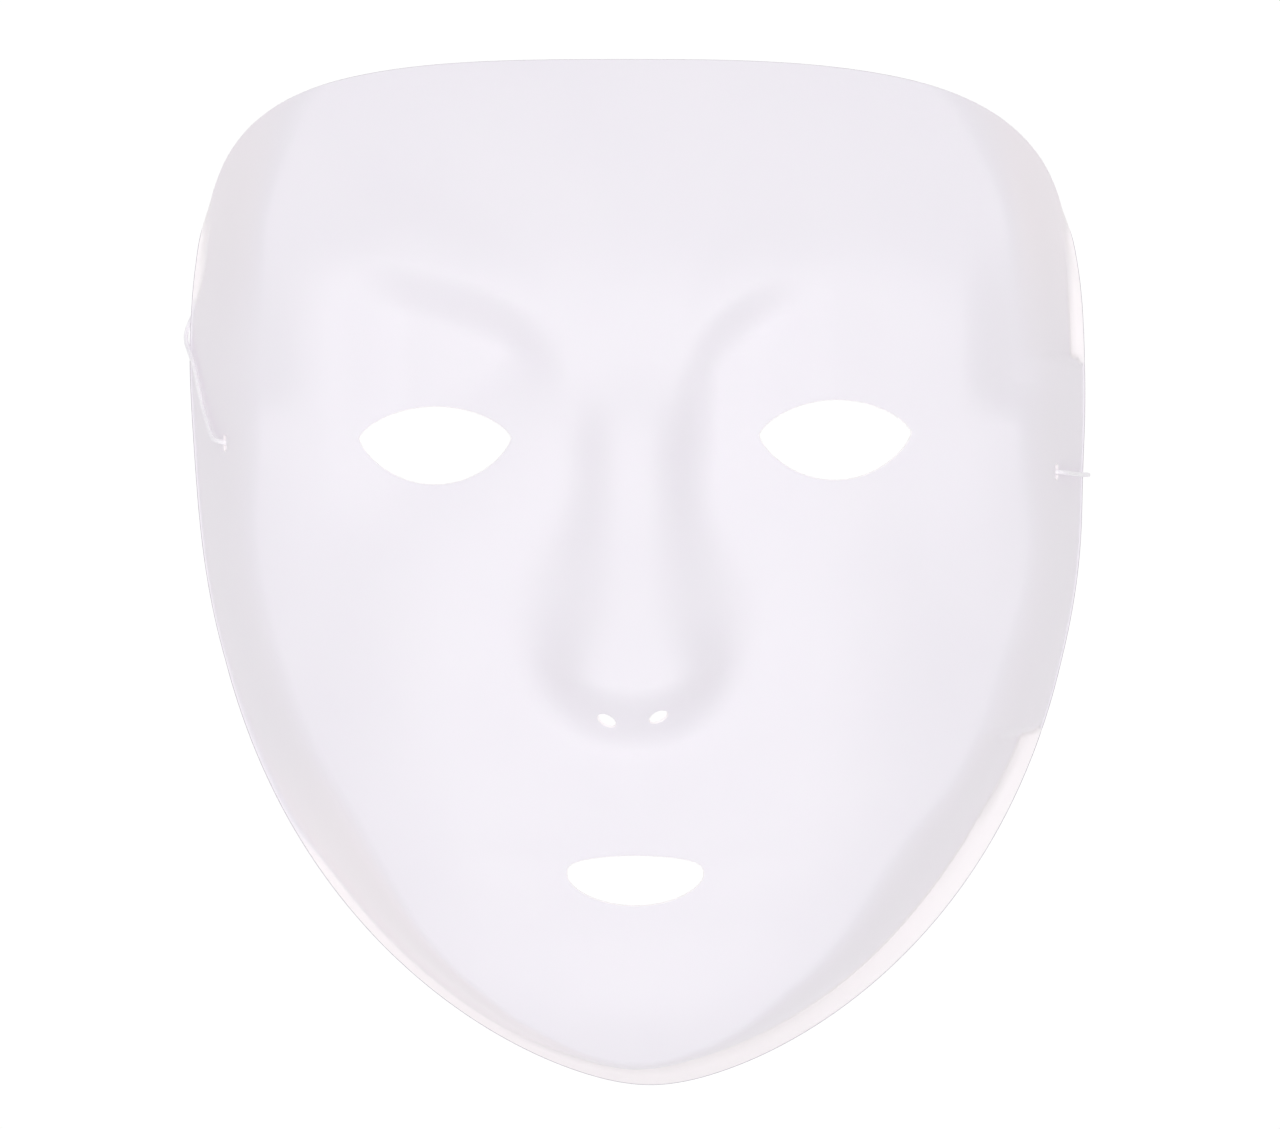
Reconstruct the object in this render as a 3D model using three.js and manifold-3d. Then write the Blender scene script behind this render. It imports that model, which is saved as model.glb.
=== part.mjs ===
import * as THREE from "three";
import { NURBSCurve } from "three/addons/curves/NURBSCurve.js";
import { mergeVertices } from "three/addons/utils/BufferGeometryUtils.js";
import Module from "manifold-3d";

// A blank white full-face mask, lying face up on its trimmed edge: one thin formed sheet with openings
// for the eyes, the mouth and the nostrils, and a round elastic cord that is hooked through a slit at
// each side by a small end bar. Millimetres, +Z up, +Y towards the forehead. Every place below is
// measured from the face's own mid-line, and the last step moves the whole mask to its centre.

const SHEET = 0.6; // thickness of the formed sheet
const MASK_CENTRE = new THREE.Vector2(0.55, -1.46); // middle of the trimmed outline

// The trimmed outline is a rounded figure |x / half|^p + |y / reach|^q = 1 about its widest level.
const HALF_WIDTH = 86.8;
const WIDEST_LEVEL = 38.5;
const REACH_TO_TOP = 58.4;
const REACH_TO_CHIN = 138.9;
const REACH_OF_WALL = 82; // the side walls rise as if the sheet went on this far above the widest level
const SQUARENESS = { topLeft: 3.44, topRight: 2.97, crown: 3.9, jaw: 1.6, cheek: 2.6 };
const TRIM_LEAN = { shift: 1.47, slope: 0.016 }; // the trim sits a little askew on the face
const CORD_DENTS = [
  { side: -1, level: 41, push: 0.6, spread: 9 },
  { side: 1, level: 19, push: -0.5, spread: 6 },
]; // where the elastic turns round the edge

// The outline is drawn with this many steps, rounded off by smoothing passes, and meshed at every fourth.
const OUTLINE_STEPS = 336;
const ROUNDING_PASSES = 13;
const MESH_EVERY = 4;
const WALL_RINGS = [0, 0.045, 0.2, 0.42, 0.7, 1, 1.36, 1.8]; // shares of the way to the shoulder
const PLAIN_SHOULDER = 11; // distance from the lip to the shoulder in the upper half of the face
const SHOULDER_STEP = 0.1;
const FACE_RINGS = 14;
const RING_SPREAD = 1.2; // above 1, the rings lie closer together towards the centre
const FACE_CENTRE = new THREE.Vector2(0, -12); // just above the tip of the nose

// The side wall and the narrow lip that is left at its foot
const WALL_BAND = 16; // width of the wall, seen from the front
const FOOT_FILLET = { plain: 0.5, lowerLeft: 3.1 };
const PLAIN_LIP = 0.3;
const SIDE_LIFT = { rise: 4.5, level: 21.5, half: 40.5 }; // the edge bows up at the sides

const EYE_HALF_WIDTH = 14.2;
const EYES = [
  { name: "left", at: [-37.3, 25.3], above: 5.9, below: 8.6, turn: 0 },
  { name: "right", at: [37.6, 26.1], above: 6.2, below: 8.6, turn: 1 },
];
const MOUTH = { at: [0.2, -56.3], half: 12.7, above: 3.6, below: 5.7 };
const NOSTRIL = { half: 1.8, thick: 0.9 };
const NOSTRILS = [
  { at: [-5.1, -27.4], turn: -28 },
  { at: [4.5, -26.7], turn: 25 },
];
const EYE_POWER = 1.4; // how pointed the corners are
const MOUTH_POWERS = { above: 0.6, below: 1.2 };
const LOOP_POINTS = { eye: 40, mouth: 36, nostril: 12 };
const CUTTER_FOOT = -10; // the openings are cut straight through, from below the sheet to above it
const CUTTER_TOP = 80;

const SLIT = { length: 3.4, width: 2.2, depth: 4 };
const SLITS = { left: [-77.8, 24.7], right: [80.5, 19.3] };
const CORD_DIAMETER = 0.9;
const CORD_SIDES = 8;
const CORD_DEGREE = 3;
const BAR = { length: 7, diameter: 1.2, depth: 2.6 };
const BAR_SIDES = 10;

// The elastic from the left bar out through its slit, down the wall, round the edge, loosely across the
// table under the mask, and up round the other edge to the right slit and bar.
const CORD_ROUTE = [
  [-76.3, 24.8, 29.7], [-77.4, 24.75, 30.05], [-79, 25, 29.85], [-80.05, 25.5, 28.8],
  [-80.7, 26.2, 26.75], [-81.15, 27.45, 25.15], [-81.95, 29.35, 22.35], [-83.25, 33.1, 18],
  [-84.35, 37.35, 14.45], [-85.6, 41.6, 9.75], [-87.5, 45.2, 4.1], [-87.2, 47.4, 2.75],
  [-86.35, 49.8, 1.8], [-85, 52, 1.2], [-82.6, 54.4, 0.8], [-79.2, 55, 0.6],
  [-75.4, 53.2, 0.6], [-71.8, 48, 0.6], [-68.6, 37, 0.6], [-66.3, 22, 0.6],
  [-64.2, 7, 0.6], [-58.5, -6, 0.6], [-47, -14, 0.6], [-16, -18.5, 0.6],
  [16, -18.5, 0.6], [47, -14, 0.6], [60, -5, 0.6], [67.5, 8, 0.6],
  [75, 17, 0.6], [81, 19.3, 0.9], [86.3, 19.1, 2.5], [87.75, 19.1, 3.3],
  [88.35, 19.1, 4.7], [88, 19.05, 6.3], [85.1, 19, 17.15], [83.05, 19.1, 24.5],
  [82.55, 19.15, 25.7], [81.6, 19.25, 26.6], [80.1, 19.3, 26.85], [78.95, 19.3, 26.5],
];

const wasm = await Module();
wasm.setup();

// Curves that shape the face: a smooth step, a bell, a rolled-off edge and a blended lower envelope
const { clamp, lerp } = THREE.MathUtils;

function ease(from, to, value) {
  return THREE.MathUtils.smoothstep(value, from, to);
}

function bell(distance, spread) {
  return Math.exp(-0.5 * (distance / spread) ** 2);
}

function rollOff(distance, reach, drop) {
  return drop * (Math.max(distance, 0) / reach) ** 2.2;
}

function blendLower(a, b, width) {
  const share = clamp(0.5 + (0.5 * (b - a)) / width, 0, 1);
  return b + (a - b) * share - width * share * (1 - share);
}

function signedPower(value, power) {
  return Math.sign(value) * Math.abs(value) ** power;
}

// The outline, evenly spaced and smoothed, anticlockwise seen from the front
function outline(reachUp) {
  const drawn = [];
  for (let i = 0; i < 10 * OUTLINE_STEPS; i += 1) {
    const turn = (2 * Math.PI * i) / (10 * OUTLINE_STEPS);
    const upper = Math.sin(turn) >= 0;
    const corner = Math.cos(turn) < 0 ? SQUARENESS.topLeft : SQUARENESS.topRight;
    const p = upper ? corner : SQUARENESS.jaw;
    const q = upper ? SQUARENESS.crown : SQUARENESS.cheek;
    const y = WIDEST_LEVEL + (upper ? reachUp : REACH_TO_CHIN) * signedPower(Math.sin(turn), 2 / q);
    let x = HALF_WIDTH * signedPower(Math.cos(turn), 2 / p) + TRIM_LEAN.shift - TRIM_LEAN.slope * y;
    for (const dent of CORD_DENTS) {
      x += dent.side * dent.push * bell(y - dent.level, dent.spread) * ease(40, 70, x * dent.side);
    }
    drawn.push(new THREE.Vector2(x, y));
  }
  const run = [0];
  drawn.forEach((point, i) => run.push(run[i] + point.distanceTo(drawn[(i + 1) % drawn.length])));
  let points = [];
  for (let i = 0, k = 0; i < OUTLINE_STEPS; i += 1) {
    const along = (run.at(-1) * i) / OUTLINE_STEPS;
    while (run[k + 1] < along) k += 1;
    const share = (along - run[k]) / (run[k + 1] - run[k]);
    points.push(drawn[k].clone().lerp(drawn[(k + 1) % drawn.length], share));
  }
  for (let pass = 0; pass < ROUNDING_PASSES; pass += 1) {
    points = points.map((point, i) => {
      const before = points[(i + OUTLINE_STEPS - 1) % OUTLINE_STEPS];
      const after = points[(i + 1) % OUTLINE_STEPS];
      return before.clone().add(after).lerp(point.clone().multiplyScalar(2), 0.5).multiplyScalar(0.5);
    });
  }
  return points;
}

const rim = outline(REACH_TO_TOP);
const foot = outline(REACH_OF_WALL);

// Distance inwards from the line that the side wall stands on
function insetFromFoot(x, y) {
  let nearest = Infinity;
  let inset = 0;
  foot.forEach((start, i) => {
    const end = foot[(i + 1) % OUTLINE_STEPS];
    const edgeX = end.x - start.x;
    const edgeY = end.y - start.y;
    const along = (x - start.x) * edgeX + (y - start.y) * edgeY;
    const share = clamp(along / (edgeX ** 2 + edgeY ** 2), 0, 1);
    const awayX = x - start.x - share * edgeX;
    const awayY = y - start.y - share * edgeY;
    const distance = Math.hypot(awayX, awayY);
    if (distance < nearest) {
      nearest = distance;
      inset = distance * Math.sign(edgeX * awayY - edgeY * awayX);
    }
  });
  return inset;
}

// Width of the turned-out lip: wide at the lower right, narrow at the chin and the upper corners
function lipWidth(x, y) {
  const upperRight = 2.2 * ease(40.5, 42.5, y) * (1 - ease(69, 84, y));
  const lowerRight = 3.1 + 0.9 * (1 - ease(-50, -33, y)) - 0.6 * (1 - ease(-85, -60, y));
  const upperLeft = 2 * ease(48, 62, y) * (1 - ease(72, 88, y));
  const lowerLeft = 1.2 * (1 - ease(-62, -45, y)) + 1.1 * (1 - ease(-99, -88, y));
  const right = upperRight + lowerRight * (1 - ease(-31.6, -29.8, y));
  return PLAIN_LIP + lerp(upperLeft + lowerLeft, right, ease(-12, 12, x));
}

function edgeLift(y) {
  const along = (y - SIDE_LIFT.level) / SIDE_LIFT.half;
  return SIDE_LIFT.rise * Math.max(1 - along ** 4, 0) ** 1.5;
}

function wallSteepness(x, y) {
  const sides = 3.9 + 0.5 * (1 - ease(5, 25, y)) - 0.9 * ease(60, 85, y);
  const leftJaw = 3 * ease(8, 24, -x) * (1 - ease(-88, -46, y));
  const chin = 3 * (1 - ease(-80, -44, y)) + 5 * (1 - ease(-97, -78, y)) + leftJaw;
  return sides + 0.6 * (1 - ease(-40, -5, y)) + chin;
}

// Height of the side wall, as if it went on rising inwards
function wallHeight(x, y) {
  const lip = lipWidth(x, y);
  const lowerLeft = ease(0, 20, -x) * (1 - ease(-45, -10, y));
  const fillet = lerp(FOOT_FILLET.plain, FOOT_FILLET.lowerLeft, lowerLeft);
  const inwards = Math.max(insetFromFoot(x, y) - lip, 0);
  const rounded = inwards < fillet ? inwards ** 2 / (2 * fillet) : inwards - fillet / 2;
  const squeeze = WALL_BAND / (WALL_BAND - lip * ease(-60, -34, y));
  return SHEET + edgeLift(y) + wallSteepness(x, y) * squeeze * rounded;
}

// The face before its side walls: a broad dome, then what is raised or set back from it
function dome(out, y) {
  const level = 47.5 + 5.4 * bell(y - 48, 17) + 2.8 * bell(y + 45, 16);
  const ends = rollOff(y - 50, 47, 8) + rollOff(-68 - y, 29, 7);
  const reach = 77 - 55 * (Math.max(30 - y, 0) / 140) ** 1.7;
  const fall = 12 - 0.033 * Math.max(y, 0) + 0.07 * Math.min(y, 0);
  const power = 2.4 + 0.6 * (1 - ease(-50, 0, y));
  return level - ends - fall * (out / Math.max(reach, 10)) ** power;
}

// The left brow is a long low arch, and the right one a short steep rise from the bridge.
function brow(out, y, isLeft) {
  const leftLine = 57.5 - 20 * Math.exp(-((out / 32) ** 1.5));
  const rightLine = 54.5 - 22 * Math.exp(-((out / 19) ** 1.7));
  const above = y - (isLeft ? leftLine : rightLine);
  const socket = 5 * (1 - ease(-5.5, 5.5, above)) * ease(0, 38, y);
  const softEnd = 25 + 15 * (1 - ease(-24, -4, above));
  const leftStrength = ease(12, softEnd, out) * (1 - ease(42, 60, out));
  const rightFade = (1 - 0.85 * ease(20, 38, out)) * (1 - ease(44, 62, out));
  const rightStrength = (0.65 + 0.4 * ease(40, 52, y)) * ease(7, 16, out) * rightFade;
  return (isLeft ? leftStrength : rightStrength) * (0.9 * bell(above - 7, 6) - socket);
}

function cheek(out, y, isLeft) {
  const apple = 2.8 * bell(out - 42, 15) * bell(y + 8, 24);
  const bone = 2 * bell(out - 68, 8) * bell(y - 12, 12);
  const temple = (isLeft ? 4 : 7) * ease(61, 76, out) * ease(27, 37, y) * (1 - ease(42, 72, y));
  const noseFold = 0.8 * bell(out - 25, 6) * bell(y + 16, 12);
  return apple + bone - temple - noseFold;
}

function nose(out, y) {
  const rise = 5.6 * (1 - ease(22, 42, y)) + 4 * (1 - ease(-16, 20, y));
  const half = 7.2 + 4.2 * (1 - ease(-12, 20, y)) + 4 * ease(30, 46, y);
  const squareness = 2.4 + 0.8 * bell(y - 20, 12) + 0.7 * (1 - ease(-18, -2, y));
  const ridge = rise * Math.exp(-0.5 * (out / half) ** squareness);
  const wing = 1.6 * bell(out - 11.5, 4) * bell(y + 19, 6);
  return (ridge + wing) * ease(-34, -20.5, y - 0.022 * Math.min(out, 24) ** 2);
}

function mouthAndChin(out, y) {
  const philtrum = 1.2 * bell(out, 6) * bell(y + 42, 8);
  const lipLine = 0.5 * bell(out - 22, 6) * bell(y + 53.5, 2.2);
  const chinFold = 0.9 * bell(out, 22) * bell(y + 71, 5);
  const chin = 1.8 * bell(out, 14) * bell(y + 81, 8);
  return philtrum - lipLine - chinFold + chin;
}

function faceHeight(x, y) {
  const out = Math.abs(x);
  const isLeft = x < 0;
  const upperFace = dome(out, y) + brow(out, y, isLeft) + cheek(out, y, isLeft);
  return upperFace + nose(out, y) + mouthAndChin(out, y);
}

// Height of the outer skin over the table: the face, with its rounded shoulder into the wall
function height(x, y) {
  const lowerRight = ease(0, 20, x) * (1 - ease(-30, 0, y)) * ease(-95, -60, y);
  const shoulder = 23 + 4 * bell(y - 45, 14) + 8 * lowerRight - 12 * (1 - ease(-95, -65, y));
  return blendLower(faceHeight(x, y), wallHeight(x, y), shoulder);
}

function normalAt(x, y) {
  const reach = 0.001;
  const slopeX = (height(x + reach, y) - height(x - reach, y)) / (2 * reach);
  const slopeY = (height(x, y + reach) - height(x, y - reach)) / (2 * reach);
  return new THREE.Vector3(-slopeX, -slopeY, 1).normalize();
}

// Distance along a ray from the rim to the shoulder, where the side wall comes up to the face
function shoulderReach(start, ray) {
  const at = start.clone();
  while (wallHeight(at.x, at.y) < faceHeight(at.x, at.y)) {
    at.addScaledVector(ray, SHOULDER_STEP);
  }
  return at.distanceTo(start);
}

// Plan points of the shell's mesh: rings that follow the rim up the wall, then close in on the centre
function planRings() {
  const starts = rim.filter((point, i) => i % MESH_EVERY === 0);
  const columns = starts.map((start, i) => {
    const before = starts[(i + starts.length - 1) % starts.length];
    const after = starts[(i + 1) % starts.length];
    const inward = new THREE.Vector2(before.y - after.y, after.x - before.x).normalize();
    const ray = FACE_CENTRE.clone().sub(start);
    const reach = ray.length();
    const perInset = 1 / ray.normalize().dot(inward);
    const lip = lipWidth(start.x, start.y) * perInset;
    const toShoulder = shoulderReach(start, ray) - lip;
    const wall = lerp(toShoulder, PLAIN_SHOULDER * perInset, ease(-20, 20, start.y));
    const insets = [0, ...WALL_RINGS.map((share) => lip + wall * share)];
    const last = insets.at(-1);
    for (let k = FACE_RINGS - 1; k > 0; k -= 1) {
      insets.push(reach - (reach - last) * (k / FACE_RINGS) ** RING_SPREAD);
    }
    return insets.map((inset) => start.clone().addScaledVector(ray, inset));
  });
  return columns[0].map((unused, k) => columns.map((column) => column[k]));
}

// The uncut shell: outer skin, inner skin one sheet thickness below it, and the cut edge between them
function uncutShell() {
  const rings = planRings();
  const count = rings[0].length;
  const plan = [...rings.flat(), FACE_CENTRE];
  const outer = plan.map(({ x, y }) => new THREE.Vector3(x, y, height(x, y)));
  const inner = plan.map(({ x, y }, i) => outer[i].clone().addScaledVector(normalAt(x, y), -SHEET));
  const below = plan.length;
  const faces = [];
  const addSkins = (a, b, c) => faces.push([a, b, c], [below + a, below + c, below + b]);
  for (let i = 0; i < count; i += 1) {
    const next = (i + 1) % count;
    for (let k = 0; k + 1 < rings.length; k += 1) {
      const [a, b] = [k * count + i, k * count + next];
      if (outer[a].distanceTo(outer[b + count]) < outer[b].distanceTo(outer[a + count])) {
        addSkins(a, b, b + count);
        addSkins(a, b + count, a + count);
      } else {
        addSkins(a, b, a + count);
        addSkins(b, b + count, a + count);
      }
    }
    const last = (rings.length - 1) * count;
    addSkins(last + i, last + next, plan.length - 1);
    faces.push([i, below + i, below + next], [i, below + next, next]);
  }
  return solid([...outer, ...inner].flatMap((point) => point.toArray()), faces.flat());
}

function solid(positions, indices) {
  return new wasm.Manifold(
    new wasm.Mesh({
      numProp: 3,
      vertProperties: new Float32Array(positions),
      triVerts: new Uint32Array(indices),
    }),
  );
}

function solidOf(geometry) {
  const loose = geometry.index ? geometry.toNonIndexed() : geometry;
  const bare = new THREE.BufferGeometry().setAttribute("position", loose.getAttribute("position"));
  const joined = mergeVertices(bare, 1e-4);
  return solid(joined.getAttribute("position").array, joined.index.array);
}

// A prism through the sheet with a pointed or rounded oval outline, wider below or above its corners
function openingCutter({ at, half, above, below, powerAbove, powerBelow, turn = 0, count }) {
  const loop = [];
  for (let i = 0; i < count; i += 1) {
    const angle = (2 * Math.PI * i) / count;
    const rise = Math.sin(angle) > 0 ? above : below;
    const power = Math.sin(angle) > 0 ? powerAbove : powerBelow;
    loop.push(new THREE.Vector2(half * Math.cos(angle), rise * signedPower(Math.sin(angle), power)));
  }
  const depth = CUTTER_TOP - CUTTER_FOOT;
  const prism = new THREE.ExtrudeGeometry(new THREE.Shape(loop), { depth, bevelEnabled: false });
  prism.rotateZ(THREE.MathUtils.degToRad(turn));
  prism.translate(at[0], at[1], CUTTER_FOOT);
  return solidOf(prism);
}

// Place of a slit on the outer skin, with the directions down the wall, along it and out of it
function slitFrame([x, y]) {
  const out = normalAt(x, y);
  const down = new THREE.Vector3(0, 0, -1).addScaledVector(out, out.z).normalize();
  const along = new THREE.Vector3().crossVectors(out, down);
  return { at: new THREE.Vector3(x, y, height(x, y)), down, along, out };
}

function slitCutter({ at, down, along, out }) {
  const block = new THREE.BoxGeometry(SLIT.width, SLIT.length, SLIT.depth);
  block.applyMatrix4(new THREE.Matrix4().makeBasis(down, along, out).setPosition(at));
  return solidOf(block);
}

function shellGeometry() {
  const eye = { half: EYE_HALF_WIDTH, powerAbove: EYE_POWER, powerBelow: EYE_POWER };
  const mouth = { powerAbove: MOUTH_POWERS.above, powerBelow: MOUTH_POWERS.below };
  const thickness = { above: NOSTRIL.thick, below: NOSTRIL.thick };
  const nostril = { half: NOSTRIL.half, ...thickness, powerAbove: 1, powerBelow: 1 };
  const cutters = [
    ...EYES.map((place) => openingCutter({ ...place, ...eye, count: LOOP_POINTS.eye })),
    openingCutter({ ...MOUTH, ...mouth, count: LOOP_POINTS.mouth }),
    ...NOSTRILS.map((place) => openingCutter({ ...place, ...nostril, count: LOOP_POINTS.nostril })),
    ...Object.values(SLITS).map((slit) => slitCutter(slitFrame(slit))),
  ];
  const cut = cutters.reduce((shell, cutter) => shell.subtract(cutter), uncutShell()).getMesh();
  const geometry = new THREE.BufferGeometry();
  geometry.setAttribute("position", new THREE.BufferAttribute(cut.vertProperties, 3));
  geometry.setIndex(new THREE.BufferAttribute(cut.triVerts, 1));
  geometry.computeVertexNormals();
  return geometry;
}

// A smooth curve that is steered by its control points and clamped at both ends. Its steps follow those
// points, so that close points give a tight bend fine steps.
class CordRoute extends NURBSCurve {
  constructor(points) {
    const spans = points.length - CORD_DEGREE;
    const knots = [];
    for (let i = 0; i < points.length + CORD_DEGREE + 1; i += 1) {
      knots.push(clamp(i - CORD_DEGREE, 0, spans));
    }
    const controls = points.map(([x, y, z]) => new THREE.Vector4(x, y, z, 1));
    super(CORD_DEGREE, knots, controls);
  }

  getPointAt(share, target) {
    return this.getPoint(share, target);
  }

  getTangentAt(share, target) {
    return this.getTangent(share, target);
  }
}

function cordGeometry() {
  const section = [];
  for (let i = 0; i < CORD_SIDES; i += 1) {
    const angle = (2 * Math.PI * i) / CORD_SIDES;
    section.push(new THREE.Vector2(Math.cos(angle), Math.sin(angle)).multiplyScalar(CORD_DIAMETER / 2));
  }
  const route = new CordRoute(CORD_ROUTE);
  const steps = 2 * (CORD_ROUTE.length - 1);
  const settings = { steps, extrudePath: route, bevelEnabled: false };
  return new THREE.ExtrudeGeometry(new THREE.Shape(section), settings);
}

const sheetWhite = new THREE.MeshStandardMaterial({ color: "#f4f2f5", roughness: 0.42, metalness: 0 });
const cordWhite = new THREE.MeshStandardMaterial({ color: "#f7f5f6", roughness: 0.85, metalness: 0 });
const barWhite = new THREE.MeshStandardMaterial({ color: "#efeef0", roughness: 0.5, metalness: 0 });

function named(name, geometry, material) {
  const mesh = new THREE.Mesh(geometry, material);
  mesh.name = name;
  return mesh;
}

const mask = new THREE.Group();
mask.add(named("mask_shell", shellGeometry(), sheetWhite));
mask.add(named("elastic_cord", cordGeometry(), cordWhite));
for (const [side, slit] of Object.entries(SLITS)) {
  const { at, down, out } = slitFrame(slit);
  const rod = new THREE.CylinderGeometry(BAR.diameter / 2, BAR.diameter / 2, BAR.length, BAR_SIDES);
  const bar = named(`end_bar_${side}`, rod, barWhite);
  bar.position.copy(at).addScaledVector(out, -BAR.depth);
  bar.quaternion.setFromUnitVectors(new THREE.Vector3(0, 1, 0), down);
  mask.add(bar);
}
mask.position.set(-MASK_CENTRE.x, -MASK_CENTRE.y, 0);

export default mask;
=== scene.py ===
# %% [markdown]
# # A blank white face mask on a white table
#
# The subject is a plain full-face mask of the kind that is sold for painting: one thin white sheet that
# was drawn over a face-shaped mould and trimmed, with an elastic cord to wear it by. It lies face up.
# This script dresses the solid model of the mask: it shoots it from straight above, replaces its coarse
# shell with a finely meshed one of the same form, and gives the plastic and the elastic their finishes.

import math

import bpy
import numpy as np
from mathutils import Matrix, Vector
from mathutils.geometry import delaunay_2d_cdt


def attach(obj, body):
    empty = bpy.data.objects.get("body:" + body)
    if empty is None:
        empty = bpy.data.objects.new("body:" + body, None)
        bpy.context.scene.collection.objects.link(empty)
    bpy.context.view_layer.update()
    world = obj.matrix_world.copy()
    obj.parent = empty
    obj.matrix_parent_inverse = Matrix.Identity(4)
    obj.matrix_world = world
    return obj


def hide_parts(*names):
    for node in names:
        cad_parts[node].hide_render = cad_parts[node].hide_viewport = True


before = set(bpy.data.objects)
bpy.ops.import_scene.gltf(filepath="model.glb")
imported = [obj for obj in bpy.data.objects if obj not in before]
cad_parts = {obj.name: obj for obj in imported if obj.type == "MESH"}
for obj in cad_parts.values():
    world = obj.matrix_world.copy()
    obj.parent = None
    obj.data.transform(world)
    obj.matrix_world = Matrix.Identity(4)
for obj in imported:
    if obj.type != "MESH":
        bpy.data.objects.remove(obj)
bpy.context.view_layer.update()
print("nodes:", sorted(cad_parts))

# %% [markdown]
# Everything is measured in millimetres from the face's own mid-line, because that is how such a mould is
# drawn. One small function turns a place in those measures into the model's metres: the model has its
# origin under the middle of the trimmed outline, which lies a little to one side of the mid-line.

# %% Units and small helpers
MM = 0.001
MASK_CENTRE = (0.55, -1.46, 0.0)  # middle of the trimmed outline, from the face's mid-line


def place(points):
    """Points in millimetres from the face's mid-line, as rows in the model's metres."""
    return (np.asarray(points, float) - MASK_CENTRE) * MM


def colour(hex_code):
    """An sRGB colour, as it is picked on a screen, as the linear light that a shader works with."""
    channels = [int(hex_code[i:i + 2], 16) / 255 for i in (1, 3, 5)]
    linear = [c / 12.92 if c <= 0.04045 else ((c + 0.055) / 1.055) ** 2.4 for c in channels]
    return (*linear, 1.0)


def ease(start, end, value):
    """0 before start, 1 after end, and a smooth step between them."""
    share = np.clip((value - start) / (end - start), 0, 1)
    return share * share * (3 - 2 * share)


def bell(distance, spread):
    """A smooth bump of height 1."""
    return np.exp(-0.5 * (distance / spread) ** 2)


def signed_power(value, power):
    """A power of the value's size, with the value's sign."""
    return np.sign(value) * np.abs(value) ** power


print("one millimetre is", MM, "m")

# %% [markdown]
# The mask is looked at from straight above, so the camera hangs over it and looks down. It is far away
# for the mask's size, about 1.1 m, which keeps the nose from looking too near and shows both side walls.
# The focal length follows from the width of table that the picture takes in.

# %% Camera
CAMERA_HEIGHT = 1100.0
CAMERA_OVER = (1.07, 1.66)  # the point of the face that the camera hangs over
PICTURE_WIDTH = 250.0  # width of table that the picture takes in
SENSOR = 36.0
NEAREST = 0.01  # metres from the camera
FARTHEST = 20.0

camera_data = bpy.data.cameras.new("camera")
camera_data.sensor_width = SENSOR
camera_data.lens = SENSOR * CAMERA_HEIGHT / PICTURE_WIDTH
camera_data.clip_start = NEAREST
camera_data.clip_end = FARTHEST
camera = bpy.data.objects.new("camera", camera_data)
camera.location = Vector(place([*CAMERA_OVER, CAMERA_HEIGHT]))
bpy.context.scene.collection.objects.link(camera)
bpy.context.scene.camera = camera
print("lens", round(camera_data.lens, 1), "mm, camera at", [round(v, 3) for v in camera.location])

# %% [markdown]
# The elastic is a thin round cord with a woven sleeve. A bar holds it behind the left slit; it comes out,
# follows the side wall down to the edge and goes round it. Behind the mask it lies slack on the table,
# and it comes back round the other edge to the right slit. The route is a list of steering points, and
# the curve is clamped at both ends, so it starts and stops exactly at the little bars that hold it.

# %% Elastic cord
CORD_DIAMETER = 0.9
CURVE_ORDER = 4  # a cubic curve
STEPS_TO_NEXT_POINT = 8
SECTION_STEPS = 5
CORD_ROUTE = [
    (-76.3, 24.8, 29.7), (-77.4, 24.75, 30.05), (-79, 25, 29.85), (-80.05, 25.5, 28.8),
    (-80.7, 26.2, 26.75), (-81.15, 27.45, 25.15), (-81.95, 29.35, 22.35), (-83.25, 33.1, 18),
    (-84.35, 37.35, 14.45), (-85.6, 41.6, 9.75), (-87.5, 45.2, 4.1), (-87.2, 47.4, 2.75),
    (-86.35, 49.8, 1.8), (-85, 52, 1.2), (-82.6, 54.4, 0.8), (-79.2, 55, 0.6),
    (-75.4, 53.2, 0.6), (-71.8, 48, 0.6), (-68.6, 37, 0.6), (-66.3, 22, 0.6),
    (-64.2, 7, 0.6), (-58.5, -6, 0.6), (-47, -14, 0.6), (-16, -18.5, 0.6),
    (16, -18.5, 0.6), (47, -14, 0.6), (60, -5, 0.6), (67.5, 8, 0.6),
    (75, 17, 0.6), (81, 19.3, 0.9), (86.3, 19.1, 2.5), (87.75, 19.1, 3.3),
    (88.35, 19.1, 4.7), (88, 19.05, 6.3), (85.1, 19, 17.15), (83.05, 19.1, 24.5),
    (82.55, 19.15, 25.7), (81.6, 19.25, 26.6), (80.1, 19.3, 26.85), (78.95, 19.3, 26.5),
]


def cord_object():
    """The cord as one open curve with a round section."""
    data = bpy.data.curves.new("elastic_cord_fine", "CURVE")
    data.dimensions = "3D"
    data.bevel_depth = CORD_DIAMETER / 2 * MM
    data.bevel_resolution = SECTION_STEPS
    data.use_fill_caps = True
    line = data.splines.new("NURBS")
    line.points.add(len(CORD_ROUTE) - 1)
    for point, at in zip(line.points, place(CORD_ROUTE)):
        point.co = (*at, 1)
    line.order_u = CURVE_ORDER
    line.use_endpoint_u = True
    line.resolution_u = STEPS_TO_NEXT_POINT
    cord = bpy.data.objects.new("elastic_cord_fine", data)
    bpy.context.scene.collection.objects.link(cord)
    return cord


cord = cord_object()
print("cord:", len(CORD_ROUTE), "steering points,", CORD_DIAMETER, "mm thick")

# %% [markdown]
# The trimmed edge follows a rounded figure: almost square at the forehead, where the sheet was cut with
# large rounded corners, and drawn out to a chin below. Left and right corners differ a little, because
# such masks are cut by hand or on a worn die. The figure is sampled evenly and then smoothed, which
# gives the chin its radius. The side walls stand on a second line that goes straight on at the temples,
# so there is no wall at the forehead: the sheet is cut across the dome there.

# %% Outline
HALF_WIDTH = 86.8
WIDEST_LEVEL = 38.5
REACH_TO_TOP = 58.4  # up from the widest level
REACH_TO_CHIN = 138.9  # down from it
REACH_OF_WALL = 82.0  # the walls' own line runs past the trimmed top
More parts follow.
